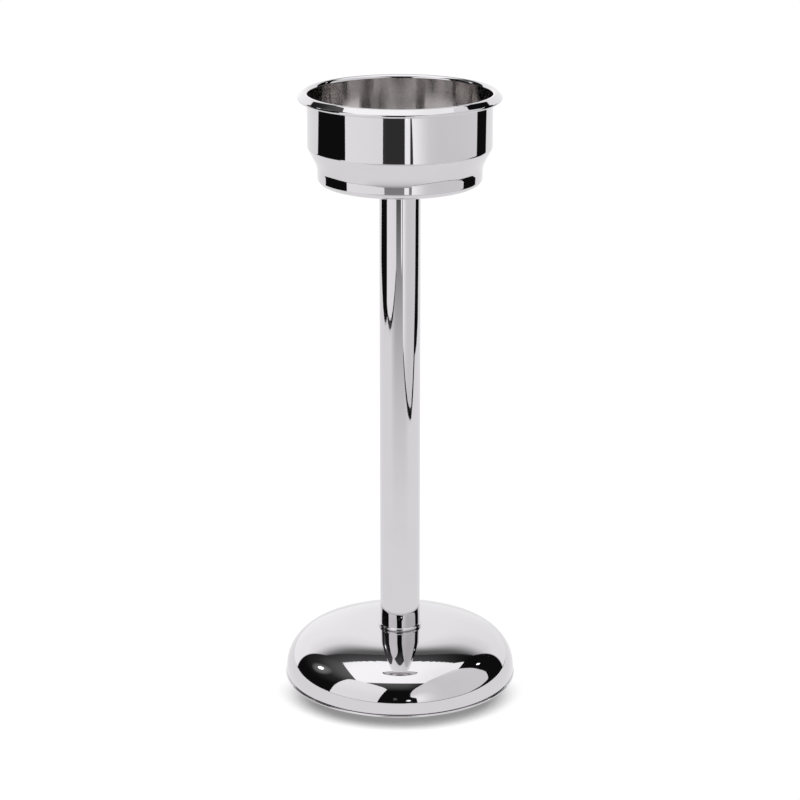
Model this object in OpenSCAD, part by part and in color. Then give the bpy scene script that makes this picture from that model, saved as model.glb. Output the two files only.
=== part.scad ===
// Pedestal stand for an ice bucket: a stepped spun cup with a beaded rim, a
// straight tubular pole and a weighted, domed foot, bolted together on one axis.
// Millimetres, +Z up, origin at the centre of the footprint on the floor.

/* [Stand] */
// Height from the floor to the top of the rim
stand_height = 600; // [480:5:800]

/* [Cup] */
// Height of the cup, from the underside of its floor to the top of its rim
cup_height = 88.5; // [75:0.5:130]
// Outer diameter of the cup's upper wall
cup_d = 178; // [150:1:220]
// How far the lower wall stands in from the upper wall, at its top
cup_step = 9.3; // [6:0.1:13]
// Height of the taper between the two walls
cup_taper_h = 24.8; // [22:0.2:35]
// Radius of the bend at the top of the taper
cup_taper_top_bend = 6; // [2:0.5:8]
// Radius of the wide bend at the bottom of the taper
cup_taper_foot_bend = 25; // [10:1:30]
// Height of the straight lower wall
cup_foot_wall_h = 6.6; // [4:0.2:20]
// Draft of the lower wall, in degrees
cup_draft = 2; // [0:0.5:4]
// Outer radius of the bend between the lower wall and the floor
cup_corner_r = 5.5; // [4:0.5:14]
// Radius of the bend over the rim's crest
rim_crest_r = 3.5; // [2:0.1:5]
// Slope of the band that falls away outside the crest, in degrees
rim_slope = 45; // [30:1:60]
// Width of that band
rim_slope_w = 4.6; // [2:0.2:8]
// Outer radius of the bead rolled along the rim's edge
rim_bead_r = 2; // [1.5:0.1:3]
// How far round the bead is rolled, in degrees
rim_bead_turn = 240; // [150:5:250]
// Thickness of the cup's sheet
cup_sheet = 0.9; // [0.6:0.1:1.5]

/* [Pole] */
// Outer diameter of the pole
pole_d = 40; // [30:1:60]
// Wall of the pole's tube
pole_wall = 1.2; // [0.8:0.1:3]
// Length of the threaded plug in each end of the pole
plug_length = 25; // [20:1:40]
// Gap between a plug and the tube
plug_gap = 0.05; // [0.02:0.01:0.1]
// Height of the ring round the pole's foot
foot_ring_h = 3.6; // [2:0.2:8]
// How far that ring stands out from the pole
foot_ring_proud = 1.4; // [0.6:0.05:2]
// Gap between that ring and the pole
foot_ring_gap = 0.05; // [0.02:0.01:0.1]

/* [Base] */
// Widest diameter of the dome
dome_d = 231; // [200:1:300]
// Radius of the dome's shoulder
dome_shoulder_r = 35.5; // [25:0.5:45]
// How far round the shoulder goes before the flank begins, in degrees
dome_shoulder_turn = 69; // [60:0.5:80]
// Radius of the flank between the shoulder and the crown
dome_flank_r = 140; // [80:5:180]
// Radius of the dome's shallow crown
dome_crown_r = 1200; // [400:10:1500]
// Margin of the flat on the crown round the pole's foot
dome_flat_margin = 2; // [1.5:0.5:6]
// Radius of the curl that turns the dome's lower edge inward
dome_curl_r = 1.8; // [1.4:0.1:4]
// Height of the upright skirt between the curl and the shoulder
dome_skirt_h = 3.5; // [0.5:0.5:10]
// Width of the turned-in hem that lies on the base plate
dome_hem_w = 6; // [3:0.5:12]
// Thickness of the dome's sheet
dome_sheet = 1; // [0.6:0.1:1.5]
// Thickness of the base plate
base_plate_t = 2; // [1:0.2:3]
// How far the base plate's edge stands out past the dome
base_plate_lip = 1; // [0.2:0.1:3]
// Depth of the dish that hides the bolt's head
dish_depth = 12; // [11:0.5:16]
// Radius of the dish's flat top
dish_top_r = 20; // [16:0.5:26]
// How much wider the dish is at its mouth
dish_flare = 8; // [4:0.5:12]
// Thickness of the rubber floor ring
floor_ring_t = 1.2; // [1:0.1:3]
// Width of the rubber floor ring
floor_ring_w = 12; // [6:1:20]
// Distance of the floor ring from the base plate's edge
floor_ring_inset = 3; // [2:0.5:12]

/* [Weight] */
// Thickness of the cast weight's disc
weight_t = 15; // [13:0.5:20]
// Gap between the weight and the hem that it passes through
weight_gap = 2; // [1:0.5:6]
// Gap between the weight and the base plate's dish
weight_dish_gap = 1; // [0.5:0.1:2]
// Radius of the weight's boss where it meets the disc
weight_boss_r = 44; // [40:1:60]
// Number of webs between the boss and the disc
weight_webs = 6; // [3:1:10]
// Thickness of each web
weight_web_t = 8; // [5:0.5:12]
// Height of the webs at the boss
weight_web_h = 20; // [12:1:24]

/* [Fasteners] */
// Thread diameter of the base bolt
base_bolt_d = 10; // [8:1:12]
// Length of the base bolt inside the foot plug
base_bolt_grip = 16; // [10:1:20]
// Width across the flats of the base bolt's head
base_bolt_flats = 17; // [13:1:19]
// Height of the base bolt's head
base_bolt_head_h = 6.4; // [5:0.1:7.5]
// Outer diameter of the base bolt's flat washer
base_washer_d = 30; // [21:1:32]
// Thickness of the base bolt's flat washer
base_washer_t = 2; // [1:0.1:2.5]
// Thread diameter of the cup screw
cup_screw_d = 8; // [6:1:10]
// Length of the cup screw inside the top plug
cup_screw_grip = 16; // [10:1:20]
// Diameter of the cup screw's button head
cup_screw_head_d = 16; // [15:0.5:20]
// Height of the cup screw's button head
cup_screw_head_h = 5; // [4:0.1:7]
// Width across the flats of the cup screw's socket
cup_screw_socket = 5; // [3:0.5:6]
// Outer diameter of the plate that spreads the screw's load over the cup's floor
load_plate_d = 80; // [50:1:100]
// Thickness of that plate
load_plate_t = 2; // [1:0.1:4]
// Thickness of the seal between the cup and the pole
cup_seal_t = 1; // [0.5:0.1:2]
// How far the seal stands in from the pole's outside
cup_seal_inset = 1; // [0.5:0.1:3]
// Thickness of the spring washers
spring_washer_t = 2; // [1.5:0.1:2.5]
// Radial width of the spring washers
spring_washer_w = 3; // [2:0.1:4]
// Gap between a thread and the threaded hole
thread_gap = 0.1; // [0.05:0.01:0.2]
// Gap between a bolt or screw and the holes that it passes through
hole_gap = 0.4; // [0.2:0.1:0.6]

/* [Hidden] */
$fn = 128;
overcut = 1;   // how far a cutter runs past the face that it opens
bend_steps = 16;  // straight pieces in a quarter circle of an outline

steel = [0.82, 0.83, 0.84];
zinc = [0.66, 0.68, 0.7];
iron = [0.25, 0.25, 0.26];
rubber = [0.08, 0.08, 0.08];

// Base plate, from the floor up
base_plate_z = floor_ring_t;
base_plate_top = base_plate_z + base_plate_t;
base_plate_r = dome_d / 2 + base_plate_lip;
dish_slope = atan(dish_depth / dish_flare);
dish_shift = base_plate_t * tan(dish_slope / 2);  // keeps the sheet's thickness round the dish's bends

// Dome: curl, skirt, shoulder, flank and crown run smoothly into each other
curl_centre = [dome_d / 2 - dome_curl_r, base_plate_top + dome_curl_r];
shoulder_centre = [dome_d / 2 - dome_shoulder_r, curl_centre.y + dome_skirt_h];
flank_centre = shoulder_centre
    - (dome_flank_r - dome_shoulder_r) * [cos(dome_shoulder_turn), sin(dome_shoulder_turn)];
crown_tilt = asin(flank_centre.x / (dome_crown_r - dome_flank_r));
crown_centre = [0, flank_centre.y - (dome_crown_r - dome_flank_r) * cos(crown_tilt)];
crown_flat_r = pole_d / 2 + foot_ring_proud + dome_flat_margin;
pole_z = crown_centre.y + sqrt(pow(dome_crown_r, 2) - pow(crown_flat_r, 2));
hem_r = curl_centre.x - dome_hem_w;

// Pole
pole_r = pole_d / 2;
pole_bore_r = pole_r - pole_wall;
plug_r = pole_bore_r - plug_gap;
cup_z = stand_height - cup_height;
pole_top = cup_z - cup_seal_t;

// Cup, measured from the underside of its floor
cup_r = cup_d / 2;
cup_foot_r = cup_r - cup_step;
corner_centre = [cup_foot_r - cup_foot_wall_h * tan(cup_draft) - cup_corner_r * cos(cup_draft), cup_corner_r];
taper_z = cup_corner_r * (1 - sin(cup_draft)) + cup_foot_wall_h;
taper_foot_centre = [cup_foot_r, taper_z] + cup_taper_foot_bend * [cos(cup_draft), -sin(cup_draft)];
taper_top_centre = [cup_r - cup_taper_top_bend, taper_z + cup_taper_h];
taper_span = taper_top_centre - taper_foot_centre;
taper_lean = atan2(taper_span.x, taper_span.y)
    + asin((cup_taper_foot_bend + cup_taper_top_bend) / norm(taper_span));
crest_centre = [cup_r - cup_sheet + rim_crest_r, cup_height - rim_crest_r];
bead_from = 90 - rim_slope;
bead_to = bead_from - rim_bead_turn;
bead_centre = crest_centre + (rim_crest_r - rim_bead_r) * [cos(bead_from), sin(bead_from)]
    + rim_slope_w * [cos(rim_slope), -sin(rim_slope)];

// Fasteners
base_bolt_r = base_bolt_d / 2;
base_washer_z = base_plate_z + dish_depth - base_washer_t;
base_spring_washer_z = base_washer_z - spring_washer_t;
base_bolt_length = pole_z + base_bolt_grip - base_spring_washer_z;
cup_screw_r = cup_screw_d / 2;
load_plate_z = cup_z + cup_sheet;
cup_spring_washer_z = load_plate_z + load_plate_t;
cup_screw_z = cup_spring_washer_z + spring_washer_t;
cup_screw_length = cup_screw_z - pole_top + cup_screw_grip;

// Points of an arc, in steps of the same size for every bend
function arc(centre, r, from, to) =
    let (steps = max(3, ceil(abs(to - from) / 90 * bend_steps)))
    [for (i = [0:steps]) let (a = from + (to - from) * i / steps) centre + r * [cos(a), sin(a)]];

function reversed(points) = [for (i = [len(points) - 1:-1:0]) points[i]];

// Wall of the cup at a depth into its sheet, from the screw's hole to the upper wall
function cup_wall(depth) = concat(
    [[cup_screw_r + hole_gap, depth]],
    arc(corner_centre, cup_corner_r - depth, -90, -cup_draft),
    arc(taper_foot_centre, cup_taper_foot_bend + depth, 180 - cup_draft, 180 - taper_lean),
    arc(taper_top_centre, cup_taper_top_bend - depth, -taper_lean, 0)
);

// Rim at a depth into its sheet, from the upper wall over the crest to the bead's end
function rim_wall(depth) = concat(
    arc(crest_centre, rim_crest_r - depth, 180, bead_from),
    arc(bead_centre, rim_bead_r - depth, bead_from, bead_to)
);

// Wall of the dome at a depth into its sheet, from the hem's edge to the bolt's hole
function dome_wall(depth) =
    let (
        crown_r = dome_crown_r - depth,
        flat_z = pole_z - depth,
        flat_from = asin((flat_z - crown_centre.y) / crown_r)
    )
    concat(
        [[hem_r, base_plate_top + depth]],
        arc(curl_centre, dome_curl_r - depth, -90, 0),
        arc(shoulder_centre, dome_shoulder_r - depth, 0, dome_shoulder_turn),
        arc(flank_centre, dome_flank_r - depth, dome_shoulder_turn, 90 - crown_tilt),
        arc(crown_centre, crown_r, 90 - crown_tilt, flat_from),
        [[base_bolt_r + hole_gap, flat_z]]
    );

module at_height(z) {
    translate([0, 0, z]) children();
}

module disc_with_hole(r, hole_r, t) {
    difference() {
        cylinder(r = r, h = t);
        at_height(-overcut) cylinder(r = hole_r, h = t + 2 * overcut);
    }
}

// A split washer, cut through at a slant
module spring_washer(bolt_r) {
    outer_r = bolt_r + hole_gap + spring_washer_w;
    slant = 25;
    cut_w = 1;
    difference() {
        disc_with_hole(outer_r, bolt_r + hole_gap, spring_washer_t);
        translate([bolt_r, 0, spring_washer_t / 2])
            rotate([slant, 0, 0])
                translate([0, -cut_w / 2, -2 * spring_washer_t])
                    cube([outer_r, cut_w, 4 * spring_washer_t]);
    }
}

// A steel plug with a threaded hole, its inner end chamfered
module threaded_plug(hole_r) {
    chamfer = 1.5;
    difference() {
        union() {
            cylinder(r = plug_r, h = plug_length - chamfer);
            at_height(plug_length - chamfer) cylinder(r1 = plug_r, r2 = plug_r - chamfer, h = chamfer);
        }
        at_height(-overcut) cylinder(r = hole_r, h = plug_length + 2 * overcut);
    }
}

// A thread's round shank, with a chamfered tip, up from the origin
module shank(r, length) {
    chamfer = 1;
    cylinder(r = r, h = length - chamfer);
    at_height(length - chamfer) cylinder(r1 = r, r2 = r - chamfer, h = chamfer);
}

module holder_cup() {
    color(steel)
        at_height(cup_z)
            rotate_extrude()
                polygon(concat(
                    cup_wall(cup_sheet), rim_wall(0),
                    reversed(rim_wall(cup_sheet)), reversed(cup_wall(0))
                ));
}

module cup_screw() {
    head_r = cup_screw_head_d / 2;
    crown_r = (pow(cup_screw_head_h, 2) + pow(head_r, 2)) / (2 * cup_screw_head_h);
    socket_depth = cup_screw_head_h / 2;
    color(zinc) at_height(cup_screw_z) {
        difference() {
            intersection() {
                at_height(cup_screw_head_h - crown_r) sphere(r = crown_r);
                cylinder(r = head_r, h = cup_screw_head_h);
            }
            at_height(cup_screw_head_h - socket_depth)
                cylinder(d = cup_screw_socket / cos(30), h = socket_depth + overcut, $fn = 6);
        }
        rotate([180, 0, 0]) shank(cup_screw_r - thread_gap, cup_screw_length);
    }
}

module cup_spring_washer() {
    color(zinc) at_height(cup_spring_washer_z) spring_washer(cup_screw_r);
}

module cup_load_plate() {
    chamfer = load_plate_t / 2;
    color(zinc) at_height(load_plate_z) difference() {
        union() {
            cylinder(d = load_plate_d, h = load_plate_t - chamfer);
            at_height(load_plate_t - chamfer)
                cylinder(d1 = load_plate_d, d2 = load_plate_d - 2 * chamfer, h = chamfer);
        }
        at_height(-overcut) cylinder(r = cup_screw_r + hole_gap, h = load_plate_t + 2 * overcut);
    }
}

module cup_seal() {
    color(rubber) at_height(pole_top)
        disc_with_hole(pole_r - cup_seal_inset, cup_screw_r + hole_gap, cup_seal_t);
}

module pole_tube() {
    color(steel) at_height(pole_z)
        disc_with_hole(pole_r, pole_bore_r, pole_top - pole_z);
}

module pole_top_plug() {
    color(zinc) at_height(pole_top) mirror([0, 0, 1]) threaded_plug(cup_screw_r);
}

module pole_foot_plug() {
    color(zinc) at_height(pole_z) threaded_plug(base_bolt_r);
}

// Half-round ring: a circle's cap, cut off by the bore for the pole
module foot_ring() {
    bore_r = pole_r + foot_ring_gap;
    proud = foot_ring_proud - foot_ring_gap;
    bead_r = (pow(foot_ring_h / 2, 2) + pow(proud, 2)) / (2 * proud);
    color(steel) at_height(pole_z)
        rotate_extrude()
            intersection() {
                translate([bore_r + proud - bead_r, foot_ring_h / 2]) circle(r = bead_r);
                translate([bore_r, 0]) square([2 * bead_r, foot_ring_h]);
            }
}

module base_shell() {
    color(steel)
        rotate_extrude() polygon(concat(dome_wall(0), reversed(dome_wall(dome_sheet))));
}

module base_weight() {
    disc_r = hem_r - weight_gap;
    disc_top = base_plate_top + weight_t;
    boss_top = pole_z - dome_sheet;
    boss_top_r = pole_r;
    recess_top_r = dish_top_r + dish_shift + weight_dish_gap;
    edge = 3;
    web_end_r = disc_r - 2 * edge;
    color(iron) difference() {
        union() {
            rotate_extrude() polygon([
                [0, base_plate_top], [disc_r, base_plate_top],
                [disc_r, disc_top - edge], [disc_r - edge, disc_top],
                [weight_boss_r, disc_top], [boss_top_r, boss_top], [0, boss_top]
            ]);
            for (i = [0:weight_webs - 1])
                rotate([90, 0, i * 360 / weight_webs])
                    linear_extrude(weight_web_t, center = true)
                        polygon([
                            [0, base_plate_top + edge], [web_end_r, base_plate_top + edge],
                            [web_end_r, disc_top], [boss_top_r, disc_top + weight_web_h],
                            [0, disc_top + weight_web_h]
                        ]);
        }
        rotate_extrude() polygon([
            [0, base_plate_top - overcut],
            [recess_top_r + dish_flare, base_plate_top - overcut],
            [recess_top_r + dish_flare, base_plate_top],
            [recess_top_r, base_plate_top + dish_depth],
            [0, base_plate_top + dish_depth]
        ]);
        cylinder(r = base_bolt_r + hole_gap, h = boss_top + overcut);
    }
}

// Pressed plate with a rounded edge and a dish in the middle for the bolt's head
module base_plate() {
    edge_r = base_plate_t / 2;
    hole_r = base_bolt_r + hole_gap;
    mouth_r = dish_top_r + dish_flare;
    color(steel) at_height(base_plate_z)
        rotate_extrude() polygon(concat(
            [[hole_r, dish_depth], [dish_top_r, dish_depth], [mouth_r, 0]],
            arc([base_plate_r - edge_r, edge_r], edge_r, -90, 90),
            [
                [mouth_r + dish_shift, base_plate_t],
                [dish_top_r + dish_shift, dish_depth + base_plate_t],
                [hole_r, dish_depth + base_plate_t]
            ]
        ));
}

module base_bolt() {
    corner_d = base_bolt_flats / cos(30);
    chamfer = (corner_d - base_bolt_flats) / 2;
    color(zinc) at_height(base_spring_washer_z) {
        mirror([0, 0, 1]) intersection() {
            cylinder(d = corner_d, h = base_bolt_head_h, $fn = 6);
            union() {
                cylinder(d = corner_d + overcut, h = base_bolt_head_h - chamfer);
                at_height(base_bolt_head_h - chamfer)
                    cylinder(d1 = corner_d + overcut, d2 = base_bolt_flats, h = chamfer);
            }
        }
        shank(base_bolt_r - thread_gap, base_bolt_length);
    }
}

module base_spring_washer() {
    color(zinc) at_height(base_spring_washer_z) spring_washer(base_bolt_r);
}

module base_washer() {
    color(zinc) at_height(base_washer_z)
        disc_with_hole(base_washer_d / 2, base_bolt_r + hole_gap, base_washer_t);
}

module floor_ring() {
    outer_r = base_plate_r - floor_ring_inset;
    color(rubber) disc_with_hole(outer_r, outer_r - floor_ring_w, floor_ring_t);
}

holder_cup();
cup_screw();
cup_spring_washer();
cup_load_plate();
cup_seal();
pole_tube();
pole_top_plug();
pole_foot_plug();
foot_ring();
base_shell();
base_weight();
base_plate();
base_bolt();
base_spring_washer();
base_washer();
floor_ring();
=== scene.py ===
import math

import bmesh
import bpy
from mathutils import Matrix, Vector


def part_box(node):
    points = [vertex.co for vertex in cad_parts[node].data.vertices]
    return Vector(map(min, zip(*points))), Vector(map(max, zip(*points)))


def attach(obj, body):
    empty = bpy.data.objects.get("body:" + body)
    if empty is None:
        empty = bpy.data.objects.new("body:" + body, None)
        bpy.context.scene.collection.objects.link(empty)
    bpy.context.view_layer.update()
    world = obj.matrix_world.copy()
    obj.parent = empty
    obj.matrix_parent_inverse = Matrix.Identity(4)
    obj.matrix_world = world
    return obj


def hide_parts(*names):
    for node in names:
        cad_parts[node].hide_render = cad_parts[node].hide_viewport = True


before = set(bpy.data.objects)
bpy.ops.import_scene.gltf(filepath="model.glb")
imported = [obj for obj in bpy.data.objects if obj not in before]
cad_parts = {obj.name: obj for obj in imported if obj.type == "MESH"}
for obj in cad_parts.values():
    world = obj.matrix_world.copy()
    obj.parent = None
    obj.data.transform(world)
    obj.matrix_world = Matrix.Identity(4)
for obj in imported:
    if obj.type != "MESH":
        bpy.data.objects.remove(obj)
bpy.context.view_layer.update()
print("frame loaded with", len(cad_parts), "nodes")

scene = bpy.context.scene
scene.view_settings.view_transform = "Standard"


# small helpers for node trees

def addNode(tree, kind, inputs=None, **settings):
    made = tree.nodes.new(kind)
    for name, value in settings.items():
        setattr(made, name, value)
    for socket, value in (inputs or {}).items():
        if isinstance(value, bpy.types.NodeSocket):
            tree.links.new(value, made.inputs[socket])
        else:
            made.inputs[socket].default_value = value
    return made


def maths(tree, operation, *values):
    return addNode(tree, "ShaderNodeMath", dict(enumerate(values)), operation=operation).outputs[0]


def times(tree, *values):
    product = values[0]
    for value in values[1:]:
        product = maths(tree, "MULTIPLY", product, value)
    return product


def above(tree, value, limit):
    return maths(tree, "GREATER_THAN", value, limit)


def below(tree, value, limit):
    return maths(tree, "LESS_THAN", value, limit)


def vectorMaths(tree, operation, *values):
    made = addNode(tree, "ShaderNodeVectorMath", dict(enumerate(values)), operation=operation)
    single = operation in ("LENGTH", "DISTANCE", "DOT_PRODUCT")
    return made.outputs["Value" if single else "Vector"]


def scaled(tree, vector, factor):
    return addNode(tree, "ShaderNodeVectorMath", {0: vector, "Scale": factor}, operation="SCALE").outputs[0]


def split(tree, vector):
    return addNode(tree, "ShaderNodeSeparateXYZ", {0: vector}).outputs


def joined(tree, x=0.0, y=0.0, z=0.0):
    return addNode(tree, "ShaderNodeCombineXYZ", {0: x, 1: y, 2: z}).outputs[0]


def ramp(tree, value, fromMin, fromMax, toMin=0.0, toMax=1.0, smooth=True):
    limits = {0: value, 1: fromMin, 2: fromMax, 3: toMin, 4: toMax}
    kind = "SMOOTHSTEP" if smooth else "LINEAR"
    return addNode(tree, "ShaderNodeMapRange", limits, interpolation_type=kind).outputs[0]


def noise(tree, place, scale, detail, roughness=0.5):
    inputs = {"Vector": place, "Scale": scale, "Detail": detail, "Roughness": roughness}
    return addNode(tree, "ShaderNodeTexNoise", inputs).outputs[0]


def blend(tree, share, first, second):
    inputs = {0: share, 6: (*first, 1.0), 7: (*second, 1.0)}
    return addNode(tree, "ShaderNodeMix", inputs, data_type="RGBA").outputs[2]


def addBump(tree, shader, height, strength, distance):
    bump = addNode(tree, "ShaderNodeBump", {"Height": height, "Strength": strength, "Distance": distance})
    tree.links.new(bump.outputs[0], shader.inputs["Normal"])


def emptyMaterial(name):
    material = bpy.data.materials.new(name)
    material.use_nodes = True
    material.node_tree.nodes.clear()
    return material, material.node_tree


# camera, at the distance and height that show the rim almost edge on and the foot from above

cameraSpec = {
    "distance": 2.335,
    "height": 1.035,
    "pitch": 17.3,
    "shiftDown": 0.02,
    "lensWidths": 3.095,  # focal length in sensor widths
    "sensor": 36.0,
    "clip": (0.05, 60.0),
}


def makeCamera(spec):
    data = bpy.data.cameras.new("camera")
    data.sensor_width = spec["sensor"]
    data.lens = spec["lensWidths"] * spec["sensor"]
    data.shift_y = -spec["shiftDown"]
    data.clip_start, data.clip_end = spec["clip"]
    camera = bpy.data.objects.new("camera", data)
    camera.location = (0.0, -spec["distance"], spec["height"])
    camera.rotation_euler = (math.radians(90.0 - spec["pitch"]), 0.0, 0.0)
    scene.collection.objects.link(camera)
    scene.camera = camera


makeCamera(cameraSpec)
print("camera placed")


# studio: a white floor that ends at two side boards, an overhead bank and a white wall behind;
# heights and sides in the wall's and ceiling's values are parts of a direction, from -1 to 1

studioSpec = {
    "floorHalf": 12.0,
    "floorDrop": 0.0001,
    "whiteLevel": 0.95,
    "darkLevel": 0.006,
    "spill": 0.55,              # what rough surfaces get from all round
    "frontFade": (0.25, 2.6),   # the floor's front darkens over this distance
    "frontSector": (0.55, 0.97),
    "frontLevel": 0.04,
    "wallLevel": 1.06,
    "wallSides": (-0.3, 0.3, 1.07, 0.97),  # a little brighter to the left
    "wallEdge": (0.575, 0.600),
    "wallEdgeLean": 0.13,       # the wall's ends lean inward as they rise
    "wallSoft": (0.42, 0.58, 0.88),
    "wallTop": (0.54, 0.69),
    "wallGlow": 0.14,
    "ceilingRise": (0.60, 0.90),
    "ceilingSide": (0.05, 0.40),
    "ceilingLevel": 0.115,
}

# each side board stands on the line at "reach", between "from" and "to"; past it the floor is cut off
# beyond "edge" and past the line "corner", as far back as "back", a distance and a slope
leftSide = {"turn": -58.0, "reach": 1.300, "from": -0.50, "to": 0.975, "edge": 1.33, "back": (0.70, 0.29)}
rightSide = {"turn": 60.0, "reach": 0.860, "from": -0.79, "to": 0.10, "edge": 1.16, "back": (-0.786, 1.28),
             "corner": {"turn": 45.8, "reach": 0.810, "from": 0.10}}


def sideways(turn):
    # outward and along, for a board that faces the stand; turn is from the camera's side, positive to the right
    angle = math.radians(turn)
    return Vector((math.sin(angle), -math.cos(angle), 0.0)), Vector((math.cos(angle), math.sin(angle), 0.0))


def along(tree, parts, direction):
    return maths(tree, "MULTIPLY_ADD", parts[1], direction.y, times(tree, parts[0], direction.x))


def beyondSide(tree, parts, side):
    outward, across = sideways(side["turn"])
    place = along(tree, parts, across)
    between = times(tree, above(tree, place, side["from"]), below(tree, place, side["to"]))
    dark = times(tree, above(tree, along(tree, parts, outward), side["reach"]), between)
    out = times(tree, parts[0], math.copysign(1.0, side["turn"]))
    start, slope = side["back"]
    depth = maths(tree, "SUBTRACT", maths(tree, "MULTIPLY_ADD", out, slope, start), parts[1])
    past = above(tree, out, side["edge"])
    if "corner" in side:
        corner = side["corner"]
        beyond = above(tree, along(tree, parts, sideways(corner["turn"])[0]), corner["reach"])
        past = maths(tree, "MAXIMUM", past, times(tree, beyond, above(tree, place, corner["from"])))
    return maths(tree, "MAXIMUM", dark, times(tree, past, above(tree, depth, 0.0)))


stripeSpec = {"turn": 9.0, "from": (1.50, 1.80), "edge": (0.048, 0.064), "level": 1.2}


def addStripe(tree, parts, spec):
    # a slanting strip of light on the floor behind the camera, as wide as a share of its distance
    outward, across = sideways(spec["turn"])
    reach = along(tree, parts, outward)
    share = maths(tree, "DIVIDE", maths(tree, "ABSOLUTE", along(tree, parts, across)), reach)
    return times(tree, ramp(tree, share, *spec["edge"], 1.0, 0.0), ramp(tree, reach, *spec["from"]), spec["level"])


shadowSpec = {
    "lean": (0.0, 0.94, 0.34),  # towards the wall
    "distance": 0.033,
    "samples": 16,
    "from": 0.58,
    "to": 0.85,
    "darkest": 0.28,
    "open": 1.02,
    "sector": (0.10, 0.75),     # it fades towards the sides
}


def addShadow(tree, nearness, spec):
    # what stands behind a spot of the floor keeps the wall's light off it
    lean = joined(tree, *Vector(spec["lean"]).normalized())
    openness = addNode(tree, "ShaderNodeAmbientOcclusion", {"Distance": spec["distance"], "Normal": lean},
                       samples=spec["samples"]).outputs["AO"]
    shade = ramp(tree, openness, spec["from"], spec["to"], spec["open"] - spec["darkest"], 0.0, smooth=False)
    return maths(tree, "SUBTRACT", spec["open"], times(tree, shade, ramp(tree, nearness, *spec["sector"])))


def makeFloor(spec):
    half, low = spec["floorHalf"], -spec["floorDrop"]
    mesh = bpy.data.meshes.new("floor")
    corners = [(-half, -half, low), (half, -half, low), (half, half, low), (-half, half, low)]
    mesh.from_pydata(corners, [], [(0, 1, 2, 3)])
    floor = bpy.data.objects.new("floor", mesh)
    scene.collection.objects.link(floor)

    paper, tree = emptyMaterial("floorPaper")
    place = addNode(tree, "ShaderNodeTexCoord").outputs["Object"]
    parts = split(tree, place)
    dark = maths(tree, "MAXIMUM", beyondSide(tree, parts, leftSide), beyondSide(tree, parts, rightSide))
    away = vectorMaths(tree, "LENGTH", place)
    fall = ramp(tree, away, *spec["frontFade"], 0.0, 1.0 - spec["frontLevel"])
    nearness = maths(tree, "DIVIDE", times(tree, parts[1], -1.0), away)
    lit = maths(tree, "SUBTRACT", 1.0, times(tree, fall, ramp(tree, nearness, *spec["frontSector"])))
    white = maths(tree, "SUBTRACT", spec["whiteLevel"], times(tree, dark, spec["whiteLevel"]))
    level = maths(tree, "MAXIMUM", times(tree, lit, white), addStripe(tree, parts, stripeSpec))
    level = maths(tree, "MAXIMUM", level, spec["darkLevel"])
    mirrored = addNode(tree, "ShaderNodeEmission", {"Strength": level}).outputs[0]
    seen = addNode(tree, "ShaderNodeEmission", {"Strength": addShadow(tree, nearness, shadowSpec)}).outputs[0]
    rays = addNode(tree, "ShaderNodeLightPath").outputs
    top = addNode(tree, "ShaderNodeMixShader", {0: rays["Is Camera Ray"], 1: mirrored, 2: seen}).outputs[0]

    # a camera under the floor looks through it
    under = addNode(tree, "ShaderNodeNewGeometry").outputs["Backfacing"]
    clear = addNode(tree, "ShaderNodeBsdfTransparent").outputs[0]
    oneSided = addNode(tree, "ShaderNodeMixShader", {0: under, 1: top, 2: clear}).outputs[0]
    addNode(tree, "ShaderNodeOutputMaterial", {0: oneSided})
    mesh.materials.append(paper)


glowSpec = [
    {"turn": -107.5, "rise": 35.5, "edge": (0.975, 0.9995), "level": 0.18},  # round the left glint
    {"turn": -109.0, "rise": 60.0, "edge": (0.70, 0.97), "level": 0.028},    # a thin veil above it
]


def addGlow(tree, direction, spec):
    outward, _ = sideways(spec["turn"])
    rise = math.radians(spec["rise"])
    towards = outward * math.cos(rise) + Vector((0, 0, math.sin(rise)))
    share = vectorMaths(tree, "DOT_PRODUCT", direction, towards)
    return ramp(tree, share, *spec["edge"], 0.0, spec["level"])


def makeWorld(spec):
    world = bpy.data.worlds.new("studio")
    scene.world = world
    world.use_nodes = True
    tree = world.node_tree
    tree.nodes.clear()
    direction = addNode(tree, "ShaderNodeTexCoord").outputs["Generated"]
    x, y, z = split(tree, direction)
    back = ramp(tree, maths(tree, "MULTIPLY_ADD", z, -spec["wallEdgeLean"], y), *spec["wallEdge"])
    softFrom, softTo, softLevel = spec["wallSoft"]
    soft = ramp(tree, z, softFrom, softTo, 1.0, softLevel)
    top = ramp(tree, z, *spec["wallTop"], 1.0, spec["wallGlow"])
    low = times(tree, soft, top, ramp(tree, x, *spec["wallSides"]))
    wall = times(tree, back, low, spec["wallLevel"])
    ceiling = times(tree, ramp(tree, z, *spec["ceilingRise"], 0.0, spec["ceilingLevel"]),
                    ramp(tree, x, *spec["ceilingSide"], 1.0, 0.0))
    level = maths(tree, "ADD", maths(tree, "MAXIMUM", wall, ceiling), spec["darkLevel"])
    for glow in glowSpec:
        level = maths(tree, "ADD", level, addGlow(tree, direction, glow))
    rays = addNode(tree, "ShaderNodeLightPath").outputs
    spill = times(tree, rays["Is Diffuse Ray"], spec["spill"])
    mirrored = times(tree, level, rays["Is Glossy Ray"])
    strength = maths(tree, "ADD", maths(tree, "MAXIMUM", mirrored, spill), rays["Is Camera Ray"])
    shade = addNode(tree, "ShaderNodeBackground", {"Color": (1.0, 1.0, 1.0, 1.0), "Strength": strength})
    addNode(tree, "ShaderNodeOutputWorld", {0: shade.outputs[0]})


# white side boards; each corner is a place along the board, a height and a rounding

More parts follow.
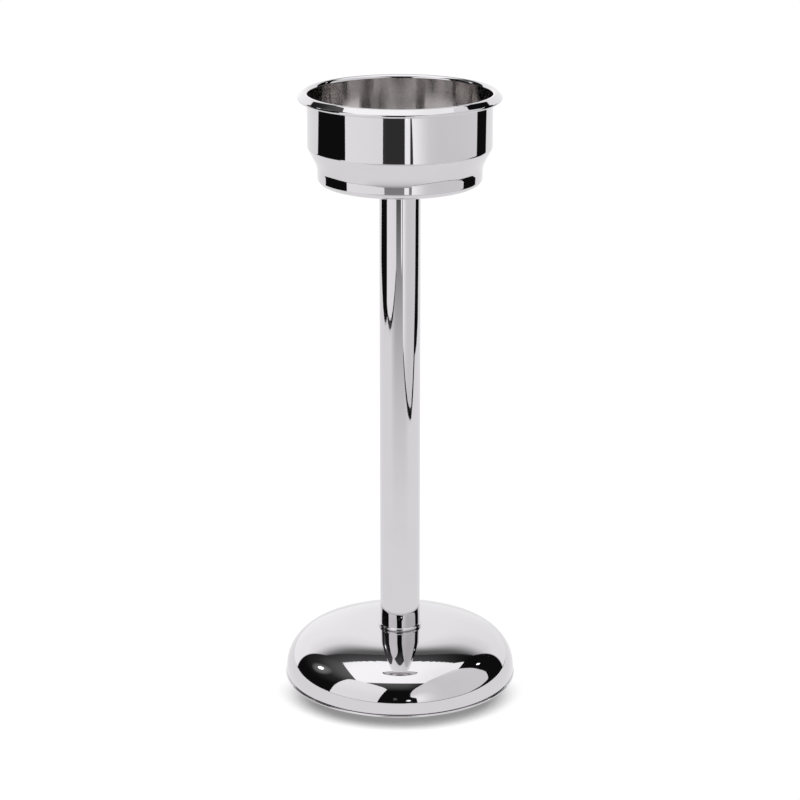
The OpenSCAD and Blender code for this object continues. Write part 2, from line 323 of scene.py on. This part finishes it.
leftPanelSpec = {
    "side": leftSide,
    "gap": 0.010,
    "corners": [
        (-0.50, 0.012, 0.01), (-0.45, 0.18, 0.03), (-0.25, 0.26, 0.03), (-0.25, 1.62, 0.25),
        (0.50, 1.80, 0.20), (1.02, 1.76, 0.10), (1.235, 1.58, 0.02), (0.975, 0.012, 0.01),
    ],
    "levels": [(-0.30, 1.05), (1.0, 1.0)],  # place along the board, level
    "rise": (0.3, 1.2, 0.08),               # from a height, to a height, gain
    "trim": {"sign": -1.0, "place": -0.25, "height": 0.26, "slope": 0.10, "top": 0.28},
}

rightPanelSpec = {
    "side": rightSide,
    "gap": 0.010,
    "corners": [
        (-0.84, 0.014, 0.01), (-0.85, 0.32, 0.05), (-1.03, 0.44, 0.05), (-1.02, 0.90, 0.30),
        (-0.13, 1.66, 0.20), (1.02, 2.38, 0.10), (1.09, 1.98, 0.10), (0.92, 1.26, 0.10),
        (0.77, 0.80, 0.10), (0.72, 0.45, 0.03), (0.94, 0.38, 0.03), (0.92, 0.29, 0.03),
        (0.64, 0.25, 0.03), (0.59, 0.14, 0.03), (0.35, 0.060, 0.02), (0.10, 0.014, 0.01),
    ],
    "levels": [(-0.50, 0.87), (-0.20, 0.81), (0.80, 0.85)],
    "rise": (1.4, 2.2, 0.12),
    "hot": {"place": -0.85, "height": 0.25, "reach": 0.50, "gain": 0.36},
    "trim": {"sign": 1.0, "place": 0.64, "height": 0.25, "slope": 0.40, "top": 0.45},
}

cornerSteps = 8


def trimmed(tree, spot, height, trim):
    # the foot, which looks up at the board, doesn't see its far lower corner
    rise = maths(tree, "SUBTRACT", height, trim["height"])
    place = times(tree, maths(tree, "MULTIPLY_ADD", rise, -trim["slope"], spot), trim["sign"])
    outer = above(tree, place, trim["sign"] * trim["place"])
    seenFrom = split(tree, addNode(tree, "ShaderNodeNewGeometry").outputs["Incoming"])
    return times(tree, outer, times(tree, below(tree, height, trim["top"]), below(tree, seenFrom[2], 0.0)))


def panelLevel(tree, across, panel):
    parts = split(tree, addNode(tree, "ShaderNodeTexCoord").outputs["Object"])
    spot, height = along(tree, parts, across), parts[2]
    stops = panel["levels"]
    level = stops[0][1]
    for (start, low), (end, high) in zip(stops, stops[1:]):
        level = maths(tree, "ADD", level, ramp(tree, spot, start, end, 0.0, high - low, smooth=False))
    start, end, gain = panel["rise"]
    level = maths(tree, "ADD", level, ramp(tree, height, start, end, 0.0, gain))
    if "hot" in panel:
        hot = panel["hot"]
        distance = vectorMaths(tree, "DISTANCE", joined(tree, spot, height), (hot["place"], hot["height"], 0.0))
        level = maths(tree, "ADD", level, ramp(tree, distance, 0.0, hot["reach"], hot["gain"], 0.0))
    kept = maths(tree, "SUBTRACT", 1.0, trimmed(tree, spot, height, panel["trim"]))
    return maths(tree, "MAXIMUM", times(tree, level, kept), studioSpec["darkLevel"])


def makePanel(name, panel):
    outward, across = sideways(panel["side"]["turn"])
    foot = outward * (panel["side"]["reach"] + panel["gap"])
    work = bmesh.new()
    verts = [work.verts.new(foot + across * place + Vector((0, 0, height))) for place, height, _ in panel["corners"]]
    work.faces.new(verts)
    for vert, (_, _, rounding) in zip(verts, panel["corners"]):
        bmesh.ops.bevel(work, geom=[vert], offset=rounding, segments=cornerSteps, profile=0.5, affect="VERTICES")
    mesh = bpy.data.meshes.new(name)
    work.to_mesh(mesh)
    work.free()
    board = bpy.data.objects.new(name, mesh)
    scene.collection.objects.link(board)
    board.visible_camera = False
    board.visible_shadow = False

    white, tree = emptyMaterial(name + "White")
    glow = addNode(tree, "ShaderNodeEmission", {"Strength": panelLevel(tree, across, panel)})
    addNode(tree, "ShaderNodeOutputMaterial", {0: glow.outputs[0]})
    mesh.materials.append(white)


def makeSoftbox(name, centre, outward, width, height, level, shape="RECTANGLE"):
    data = bpy.data.lights.new(name, "AREA")
    data.shape = shape
    data.size, data.size_y = width, height
    area = width * height * (math.pi / 4 if shape == "ELLIPSE" else 1.0)
    data.energy = level * math.pi * area
    lamp = bpy.data.objects.new(name, data)
    scene.collection.objects.link(lamp)
    turn = (-outward).to_track_quat("-Z", "Y").to_matrix().to_4x4()
    lamp.matrix_world = Matrix.Translation(centre) @ turn
    lamp.visible_camera = False
    return lamp


overheadSpec = {
    "centre": (0.147, 0.585, 2.70),
    "width": 3.124,
    "depth": 3.593,
    "tip": 22.5,
    "yaw": 1.5,
    "level": 1.2,
}


def makeOverhead(spec):
    centre, upward = Vector(spec["centre"]), Vector((0, 0, 1))
    lamp = makeSoftbox("overheadBank", centre, upward, spec["width"], spec["depth"], spec["level"])
    tip = Matrix.Rotation(math.radians(spec["tip"]), 4, "X")
    yaw = Matrix.Rotation(math.radians(-spec["yaw"]), 4, "Z")
    lamp.matrix_world = Matrix.Translation(centre) @ yaw @ tip


glintSpec = {
    "reach": 2.0,
    "lamps": [  # name, turn, rise, width, height, level
        ("leftGlint", -107.0, 36.0, 0.28, 0.28, 2.2),
        ("rightGlint", 117.7, 40.5, 0.16, 0.16, 3.0),
        ("frontGlint", 8.1, 8.1, 0.15, 0.15, 1.6),
        ("frontShape", -4.6, 13.0, 0.13, 0.28, 0.08),
    ],
}


def makeGlints(spec):
    reach = spec["reach"]
    for name, turn, rise, width, height, level in spec["lamps"]:
        outward, _ = sideways(turn)
        centre = outward * reach + Vector((0, 0, reach * math.tan(math.radians(rise))))
        makeSoftbox(name, centre, centre.normalized(), width, height, level, "ELLIPSE")


makeFloor(studioSpec)
makeWorld(studioSpec)
makePanel("leftPanel", leftPanelSpec)
makePanel("rightPanel", rightPanelSpec)
makeOverhead(overheadSpec)
makeGlints(glintSpec)
print("studio lit")


# finishes

def newMaterial(name):
    material = bpy.data.materials.new(name)
    material.use_nodes = True
    tree = material.node_tree
    return material, tree, tree.nodes["Principled BSDF"]


polishSpec = {
    "ringDetail": 2.0,
    "lineDetail": 1.0,
    "lineDrift": 1.5,            # how much the drawn lines change on their way up
    "cloud": (22.0, 4.0, 0.6),   # scale, detail, roughness
    "smudge": (0.45, 0.75),
    "smudgeRough": 0.05,
    "smudgeTint": -0.05,
    "ringRough": 0.02,
    "ringHeight": 0.05,
    "bump": 0.00002,
}


def makePolishGroup(spec):
    group = bpy.data.node_groups.new("polishMarks", "ShaderNodeTree")
    sockets = group.interface
    for name, value in (("Roughness", 0.04), ("Smudge", 0.5), ("Rings", 900.0), ("Lines", 0.0), ("Depth", 1.0)):
        made = sockets.new_socket(name, in_out="INPUT", socket_type="NodeSocketFloat")
        made.default_value = value
    for name in ("Roughness", "Tint", "Height"):
        sockets.new_socket(name, in_out="OUTPUT", socket_type="NodeSocketFloat")
    given = addNode(group, "NodeGroupInput").outputs
    place = addNode(group, "ShaderNodeTexCoord").outputs["Object"]
    x, y, z = split(group, place)
    flat = joined(group, x, y)

    # rings that run round the upright axis
    ringPlace = joined(group, vectorMaths(group, "LENGTH", flat), z)
    rings = noise(group, scaled(group, ringPlace, given["Rings"]), 1.0, spec["ringDetail"])

    # lines that run up and down
    facing = scaled(group, vectorMaths(group, "NORMALIZE", flat), given["Lines"])
    drift = joined(group, z=times(group, z, spec["lineDrift"]))
    lines = noise(group, vectorMaths(group, "ADD", facing, drift), 1.0, spec["lineDetail"])

    cloud = noise(group, place, *spec["cloud"])
    smudge = times(group, ramp(group, cloud, *spec["smudge"]), given["Smudge"])
    rough = maths(group, "MULTIPLY_ADD", smudge, spec["smudgeRough"], given["Roughness"])
    rough = maths(group, "MULTIPLY_ADD", rings, spec["ringRough"], rough)
    tint = maths(group, "MULTIPLY_ADD", smudge, spec["smudgeTint"], 1.0)
    relief = maths(group, "ADD", lines, times(group, rings, spec["ringHeight"]))
    height = times(group, relief, given["Depth"])
    addNode(group, "NodeGroupOutput", {"Roughness": rough, "Tint": tint, "Height": height})
    return group


polishMarks = makePolishGroup(polishSpec)


def makePolished(name, colour, roughness, smudge, rings, lines, depth):
    material, tree, shader = newMaterial(name)
    marks = tree.nodes.new("ShaderNodeGroup")
    marks.node_tree = polishMarks
    for socket, value in (("Roughness", roughness), ("Smudge", smudge), ("Rings", rings), ("Lines", lines),
                          ("Depth", depth)):
        marks.inputs[socket].default_value = value
    tree.links.new(blend(tree, marks.outputs["Tint"], (0.0, 0.0, 0.0), colour), shader.inputs["Base Color"])
    tree.links.new(marks.outputs["Roughness"], shader.inputs["Roughness"])
    addBump(tree, shader, marks.outputs["Height"], 1.0, polishSpec["bump"])
    shader.inputs["Metallic"].default_value = 1.0
    return material


def brushAround(material, amount, rotation):
    # grooves that run round the upright axis stretch what they mirror up and down
    tree = material.node_tree
    shader = tree.nodes["Principled BSDF"]
    around = addNode(tree, "ShaderNodeTangent", direction_type="RADIAL", axis="Z")
    tree.links.new(around.outputs[0], shader.inputs["Tangent"])
    shader.inputs["Anisotropic"].default_value = amount
    shader.inputs["Anisotropic Rotation"].default_value = rotation
    return material


mirrorSteel = makePolished("mirrorSteel", colour=(0.675, 0.660, 0.678), roughness=0.015, smudge=0.6,
                           rings=700.0, lines=3.0, depth=0.3)
drawnSteel = makePolished("drawnSteel", colour=(0.675, 0.660, 0.678), roughness=0.015, smudge=0.4,
                          rings=500.0, lines=9.0, depth=1.0)
satinSteel = makePolished("satinSteel", colour=(0.60, 0.60, 0.59), roughness=0.25, smudge=0.3,
                          rings=2500.0, lines=2.0, depth=6.0)
spunSteel = makePolished("spunSteel", colour=(0.72, 0.70, 0.695), roughness=0.09, smudge=0.5,
                         rings=300.0, lines=60.0, depth=0.5)
brushAround(spunSteel, amount=0.95, rotation=0.25)
zincPlate = makePolished("zincPlate", colour=(0.60, 0.62, 0.63), roughness=0.22, smudge=1.0,
                         rings=900.0, lines=4.0, depth=3.0)
turnedSteel = makePolished("turnedSteel", colour=(0.48, 0.48, 0.47), roughness=0.3, smudge=0.8,
                           rings=2200.0, lines=1.0, depth=12.0)

castIronSpec = {
    "sand": (700.0, 6.0),      # scale, detail
    "patches": (40.0, 3.0),
    "dark": (0.05, 0.05, 0.052),
    "light": (0.11, 0.105, 0.1),
    "roughness": (0.3, 0.7, 0.45, 0.7),
    "bump": (0.8, 0.0004),     # strength, depth
    "metallic": 0.6,
}


def makeCastIron(spec):
    material, tree, shader = newMaterial("castIron")
    place = addNode(tree, "ShaderNodeTexCoord").outputs["Object"]
    patches = noise(tree, place, *spec["patches"])
    tree.links.new(blend(tree, patches, spec["dark"], spec["light"]), shader.inputs["Base Color"])
    tree.links.new(ramp(tree, patches, *spec["roughness"]), shader.inputs["Roughness"])
    addBump(tree, shader, noise(tree, place, *spec["sand"]), *spec["bump"])
    shader.inputs["Metallic"].default_value = spec["metallic"]
    return material


rubberSpec = {
    "grain": (1500.0, 3.0),
    "dust": (60.0, 4.0),
    "dustShare": (0.4, 0.8),
    "clean": (0.018, 0.018, 0.018),
    "dusty": (0.045, 0.044, 0.042),
    "roughness": (0.3, 0.7, 0.6, 0.85),
    "bump": (0.6, 0.0001),
}


def makeRubber(spec):
    material, tree, shader = newMaterial("blackRubber")
    place = addNode(tree, "ShaderNodeTexCoord").outputs["Object"]
    grain = noise(tree, place, *spec["grain"])
    dust = ramp(tree, noise(tree, place, *spec["dust"]), *spec["dustShare"])
    tree.links.new(blend(tree, dust, spec["clean"], spec["dusty"]), shader.inputs["Base Color"])
    tree.links.new(ramp(tree, grain, *spec["roughness"]), shader.inputs["Roughness"])
    addBump(tree, shader, grain, *spec["bump"])
    return material


castIron = makeCastIron(castIronSpec)
blackRubber = makeRubber(rubberSpec)
print("finishes mixed")


# spinning tree: turns a closed outline, drawn as radius and height, about the upright axis

spinSpec = {"steps": 256, "core": 0.001, "merge": 1e-7}


def makeSpinTree(spec):
    tree = bpy.data.node_groups.new("spinOutline", "GeometryNodeTree")
    sockets = tree.interface
    sockets.new_socket("Outline", in_out="INPUT", socket_type="NodeSocketGeometry")
    steps = sockets.new_socket("Steps", in_out="INPUT", socket_type="NodeSocketInt")
    steps.default_value = spec["steps"]
    core = sockets.new_socket("Core Radius", in_out="INPUT", socket_type="NodeSocketFloat")
    core.default_value = spec["core"]
    sockets.new_socket("Finish", in_out="INPUT", socket_type="NodeSocketMaterial")
    sockets.new_socket("Sheet", in_out="OUTPUT", socket_type="NodeSocketGeometry")
    given = addNode(tree, "NodeGroupInput").outputs
    outline = addNode(tree, "GeometryNodeMeshToCurve", {"Mesh": given["Outline"]})
    shift = joined(tree, times(tree, given["Core Radius"], -1.0))
    moved = addNode(tree, "GeometryNodeTransform", {"Geometry": outline.outputs[0], "Translation": shift,
                                                    "Scale": (1.0, -1.0, 1.0)})
    path = addNode(tree, "GeometryNodeCurvePrimitiveCircle", {"Resolution": given["Steps"],
                                                              "Radius": given["Core Radius"]})
    spun = addNode(tree, "GeometryNodeCurveToMesh", {"Curve": path.outputs[0], "Profile Curve": moved.outputs[0]})
    smooth = addNode(tree, "GeometryNodeSetShadeSmooth", {"Geometry": spun.outputs[0]})
    real = addNode(tree, "GeometryNodeRealizeInstances", {"Geometry": smooth.outputs[0]})
    finished = addNode(tree, "GeometryNodeSetMaterial", {"Geometry": real.outputs[0], "Material": given["Finish"]})
    addNode(tree, "NodeGroupOutput", {"Sheet": finished.outputs[0]})
    return tree


spinOutline = makeSpinTree(spinSpec)


def arc(centre, radius, start, end, stepDegrees=3.0):
    steps = max(4, math.ceil(abs(end - start) / stepDegrees))
    turns = [math.radians(start + (end - start) * i / steps) for i in range(steps + 1)]
    return [(centre[0] + radius * math.cos(a), centre[1] + radius * math.sin(a)) for a in turns]


def polar(radius, degrees):
    angle = math.radians(degrees)
    return Vector((math.cos(angle), math.sin(angle))) * radius


def braced(outline, margin=0.0003, longest=0.006):
    # extra points close to each corner keep a long flat from bending the shading of the arc beside it
    points = []
    count = len(outline)
    for i in range(count):
        a, b = Vector(outline[i]), Vector(outline[(i + 1) % count])
        length = (b - a).length
        if length < spinSpec["merge"]:
            continue
        points.append(tuple(a))
        if length > 4 * margin:
            points.append(tuple(a.lerp(b, margin / length)))
            inner = math.ceil((length - 2 * margin) / longest)
            for k in range(1, inner):
                points.append(tuple(a.lerp(b, (margin + (length - 2 * margin) * k / inner) / length)))
            points.append(tuple(a.lerp(b, 1 - margin / length)))
    return points


def spin(name, outline, finish):
    points = braced(outline)
    count = len(points)
    wire = bpy.data.meshes.new(name + "Outline")
    wire.from_pydata([(r, z, 0.0) for r, z in points], [(i, (i + 1) % count) for i in range(count)], [])
    source = bpy.data.objects.new(name + "Outline", wire)
    scene.collection.objects.link(source)
    modifier = source.modifiers.new("spin", "NODES")
    modifier.node_group = spinOutline
    wanted = {"Steps": spinSpec["steps"], "Finish": finish}
    for item in spinOutline.interface.items_tree:
        if item.name in wanted and item.in_out == "INPUT":
            modifier[item.identifier] = wanted[item.name]
    evaluated = source.evaluated_get(bpy.context.evaluated_depsgraph_get())
    mesh = bpy.data.meshes.new_from_object(evaluated)
    mesh.name = name
    bpy.data.objects.remove(source)
    work = bmesh.new()
    work.from_mesh(mesh)
    bmesh.ops.remove_doubles(work, verts=work.verts, dist=spinSpec["merge"])
    bmesh.ops.recalc_face_normals(work, faces=work.faces)
    for face in work.faces:
        face.smooth = True
    work.to_mesh(mesh)
    work.free()
    piece = bpy.data.objects.new(name, mesh)
    scene.collection.objects.link(piece)
    if not mesh.materials:
        mesh.materials.append(finish)
    corners = [tuple(round(c, 4) for c in piece.bound_box[index]) for index in (0, 6)]
    print(name, "spun:", len(mesh.polygons), "faces, box", corners)
    return piece


def dress(piece, node):
    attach(piece, "root")
    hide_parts(node)


# cup

cupSpec = {
    "sheet": 0.0009,
    "step": 0.0093,
    "taperHeight": 0.0248,
    "topBend": 0.006,
    "footBend": 0.025,
    "footWall": 0.0066,
    "draft": 2.0,
    "corner": 0.0055,
    "crest": 0.0035,
    "slope": 45.0,
    "slopeWidth": 0.0046,
    "bead": 0.002,
    "beadTurn": 240.0,
    "hole": 0.0044,
}


def cupWall(spec, wall, depth):
    draft, top, foot = spec["draft"], spec["topBend"], spec["footBend"]
    lean = math.radians(draft)
    narrow = wall - spec["step"]
    corner = (narrow - spec["footWall"] * math.tan(lean) - spec["corner"] * math.cos(lean), spec["corner"])
    taperFrom = spec["corner"] * (1 - math.sin(lean)) + spec["footWall"]
    low = Vector((narrow, taperFrom)) + polar(foot, -draft)
    high = Vector((wall - top, taperFrom + spec["taperHeight"]))
    span = high - low
    slant = math.degrees(math.atan2(span.x, span.y) + math.asin((top + foot) / span.length))
    return ([(spec["hole"], depth)]
            + arc(corner, spec["corner"] - depth, -90, -draft)
            + arc(low, foot + depth, 180 - draft, 180 - slant, 1.0)
            + arc(high, top - depth, -slant, 0, 2.0))


def rimWall(spec, wall, height, depth):
    crest = Vector((wall - spec["sheet"] + spec["crest"], height - spec["crest"]))
    start = 90 - spec["slope"]
    bead = crest + polar(spec["crest"] - spec["bead"], start) + polar(spec["slopeWidth"], -spec["slope"])
    return (arc(crest, spec["crest"] - depth, 180, start)
            + arc(bead, spec["bead"] - depth, start, start - spec["beadTurn"], 6.0))


def isInside(face, wall, top):
    # faces of the bore or of the floor's upper side
    spot, out = face.center, face.normal
    radius = math.hypot(spot.x, spot.y)
    inward = -(spot.x * out.x + spot.y * out.y) / radius
    return radius < wall and spot.z < top and (inward > 0.1 or out.z > 0.5)


def makeCup(spec):
    low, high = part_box("holder_cup")
    height, sheet = high.z - low.z, spec["sheet"]
    overhang = rimWall(spec, 0.0, height, 0.0)
    wall = high.x - max(r for r, z in overhang)
    outline = (cupWall(spec, wall, sheet) + rimWall(spec, wall, height, 0.0)
               + rimWall(spec, wall, height, sheet)[::-1] + cupWall(spec, wall, 0.0)[::-1])
    piece = spin("holderCup", [(r, z + low.z) for r, z in outline], mirrorSteel)
    piece.data.materials.append(spunSteel)
    for face in piece.data.polygons:
        if isInside(face, wall, high.z - spec["crest"]):
            face.material_index = 1
    dress(piece, "holder_cup")


makeCup(cupSpec)


# pole and the ring at its foot

poleSpec = {"wall": 0.0012, "chamfer": 0.0002}


def makePole(spec):
    low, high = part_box("pole_tube")
    outer = high.x
    inner = outer - spec["wall"]
    chamfer = spec["chamfer"]
    outline = [(inner, low.z), (outer - chamfer, low.z), (outer, low.z + chamfer),
               (outer, high.z - chamfer), (outer - chamfer, high.z), (inner, high.z)]
    dress(spin("poleTube", outline, drawnSteel), "pole_tube")


ringSpec = {"gap": 0.00005}


def makeFootRing(spec):
    low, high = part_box("foot_ring")
    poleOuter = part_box("pole_tube")[1].x
    bore = poleOuter + spec["gap"]
    half, proud = (high.z - low.z) / 2, high.x - bore
    bead = (half ** 2 + proud ** 2) / (2 * proud)
    halfTurn = math.degrees(math.asin(half / bead))
    outline = arc((high.x - bead, low.z + half), bead, -halfTurn, halfTurn)
    dress(spin("footRing", outline, mirrorSteel), "foot_ring")


makePole(poleSpec)
makeFootRing(ringSpec)


# domed foot: shell and plate

domeSpec = {
    "sheet": 0.001,
    "skirt": 0.0035,
    "shoulder": 0.0355,
    "shoulderTurn": 69.0,
    "flank": 0.140,
    "crown": 1.200,
    "flatMargin": 0.002,
    "curl": 0.0018,
    "hem": 0.006,
    "hole": 0.0054,
}


def domeWall(spec, widest, base, flat, depth):
    curl = (widest - spec["curl"], base + spec["curl"])
    shoulder = Vector((widest - spec["shoulder"], base + spec["curl"] + spec["skirt"]))
    turn = spec["shoulderTurn"]
    flank = shoulder - polar(spec["flank"] - spec["shoulder"], turn)
    reach = spec["crown"] - spec["flank"]
    tilt = math.degrees(math.asin(flank.x / reach))
    crown = (0.0, flank.y - reach * math.cos(math.radians(tilt)))
    flatHeight = crown[1] + math.sqrt(spec["crown"] ** 2 - flat ** 2) - depth
    flatFrom = math.degrees(math.asin((flatHeight - crown[1]) / (spec["crown"] - depth)))
    return ([(curl[0] - spec["hem"], base + depth)]
            + arc(curl, spec["curl"] - depth, -90, 0, 5.0)
            + arc(shoulder, spec["shoulder"] - depth, 0, turn, 1.5)
            + arc(flank, spec["flank"] - depth, turn, 90 - tilt, 0.7)
            + arc(crown, spec["crown"] - depth, 90 - tilt, flatFrom, 0.25)
            + [(spec["hole"], flatHeight)])


def makeDome(spec):
    low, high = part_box("base_shell")
    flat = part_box("foot_ring")[1].x + spec["flatMargin"]
    outline = (domeWall(spec, high.x, low.z, flat, 0.0)
               + domeWall(spec, high.x, low.z, flat, spec["sheet"])[::-1])
    dress(spin("baseDome", outline, mirrorSteel), "base_shell")


plateSpec = {"thick": 0.002, "dishTop": 0.020, "dishFlare": 0.008, "hole": 0.0054}


def makePlate(spec):
    low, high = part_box("base_plate")
    thick, base, edge = spec["thick"], low.z, high.x
    roof = high.z - thick
    mouth = spec["dishTop"] + spec["dishFlare"]
    shift = thick * math.tan(math.atan((roof - base) / spec["dishFlare"]) / 2)
    outline = ([(spec["hole"], roof), (spec["dishTop"], roof), (mouth, base)]
               + arc((edge - thick / 2, base + thick / 2), thick / 2, -90, 90, 6.0)
               + [(mouth + shift, base + thick), (spec["dishTop"] + shift, high.z), (spec["hole"], high.z)])
    dress(spin("basePlate", outline, mirrorSteel), "base_plate")


makeDome(domeSpec)
makePlate(plateSpec)


# inner and small pieces keep their own solids and get their finish

nodeFinishes = {
    "cup_screw": zincPlate,
    "cup_spring_washer": zincPlate,
    "cup_load_plate": satinSteel,
    "cup_seal": blackRubber,
    "pole_top_plug": turnedSteel,
    "pole_foot_plug": turnedSteel,
    "base_weight": castIron,
    "base_bolt": zincPlate,
    "base_spring_washer": zincPlate,
    "base_washer": zincPlate,
    "floor_ring": blackRubber,
}
for nodeName, finish in nodeFinishes.items():
    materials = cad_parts[nodeName].data.materials
    if len(materials):
        for index in range(len(materials)):
            materials[index] = finish
    else:
        materials.append(finish)
print("small pieces finished")
